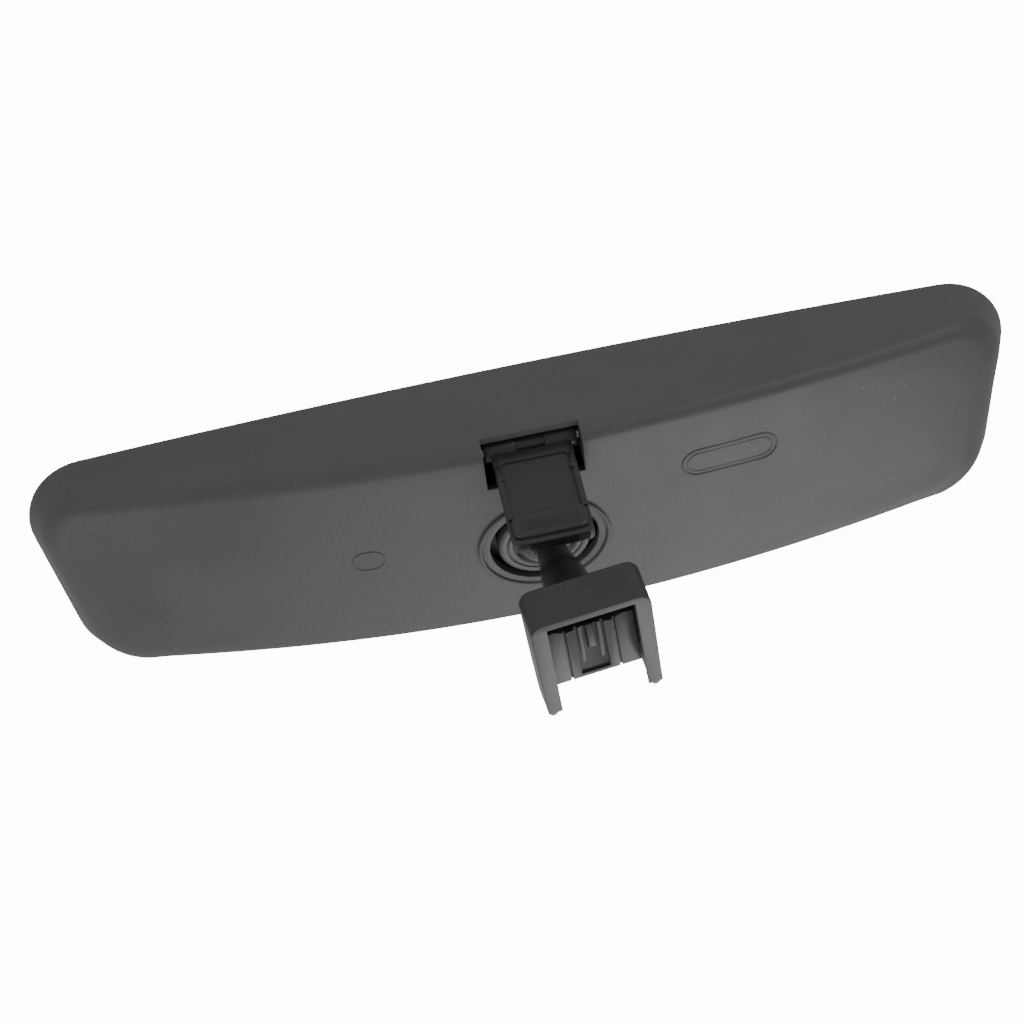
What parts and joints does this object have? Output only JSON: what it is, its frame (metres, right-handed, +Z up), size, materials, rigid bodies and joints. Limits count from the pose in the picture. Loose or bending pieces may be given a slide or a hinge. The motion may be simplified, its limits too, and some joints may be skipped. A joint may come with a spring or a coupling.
{
  "type": "interior rearview mirror",
  "caption": "Interior rearview mirror: wedge glass in a moulded housing, day and night lever, ball-jointed stem and a slide-on windscreen foot.",
  "frame": {"origin": "middle of the mouth of the windscreen foot's button channel, in the plane of its rail lips", "axes": "+Z up in the car, +Y forward towards the windscreen, +X along the head's width; glass faces -Y; the head is square to the axes and the foot is turned on the ball as stored"},
  "size_m": [0.25, 0.0783, 0.0679],
  "materials": {
    "housing_plastic": "fine grained, matte",
    "lever_plastic": "satin",
    "foot_plastic": "satin",
    "tip_plastic": "satin",
    "stem": "semi-gloss black coat",
    "socket_plastic": "matte",
    "ring_plastic": "satin",
    "liner": "natural",
    "steel": "turned",
    "spring_steel": "rolled",
    "glass": "polished",
    "silvering": "silvered",
    "foam": "closed-cell foam",
    "rubber": "matte"
  },
  "bodies": {
    "foot": {"foot_shell": "foot_plastic", "web_plate": "foot_plastic", "button_spring": "foot_plastic", "rail_tips": "tip_plastic", "ball_stem": "stem", "stem_screw": "steel", "lock_washer": "steel"},
    "rear_liner": {"rear_liner": "liner"},
    "front_liner": {"front_liner": "liner"},
    "socket": {"carrier": "socket_plastic", "socket_ring": "ring_plastic", "clamp_spring": "spring_steel"},
    "case": {"housing": "housing_plastic", "prism_glass": "glass", "mirror_film": "silvering", "glass_pads": "foam", "hinge_pin": "steel", "lever_axle": "steel", "stop_pad": "rubber", "detent_spring": "spring_steel", "spring_screw": "steel"},
    "lever": {"lever": "lever_plastic"}
  },
  "joints": [
    {"name": "head_yaw", "type": "hinge", "parent": "foot", "child": "rear_liner", "pos_m": [-0.00442, -0.05583, -0.00152], "axis": [0, 0, 1], "range_deg": [-20, 12]},
    {"name": "head_pitch", "type": "hinge", "parent": "rear_liner", "child": "front_liner", "pos_m": [-0.00442, -0.05583, -0.00152], "axis": [1, 0, 0], "range_deg": [-28, 8]},
    {"name": "head_roll", "type": "hinge", "parent": "front_liner", "child": "socket", "pos_m": [-0.00442, -0.05583, -0.00152], "axis": [0, 0.9438, 0.3305], "range_deg": [-12, 12]},
    {"name": "day_night_tilt", "type": "hinge", "parent": "socket", "child": "case", "pos_m": [-0.00442, -0.06263, 0.01396], "axis": [1, 0, 0], "range_deg": [-4, 0]},
    {"name": "lever_turn", "type": "hinge", "parent": "case", "child": "lever", "pos_m": [-0.00442, -0.04913, -0.03154], "axis": [1, 0, 0], "range_deg": [-40, 0]}
  ],
  "couplings": [
    {"joint": "lever_turn", "follows": "day_night_tilt", "ratio": 10}
  ]
}
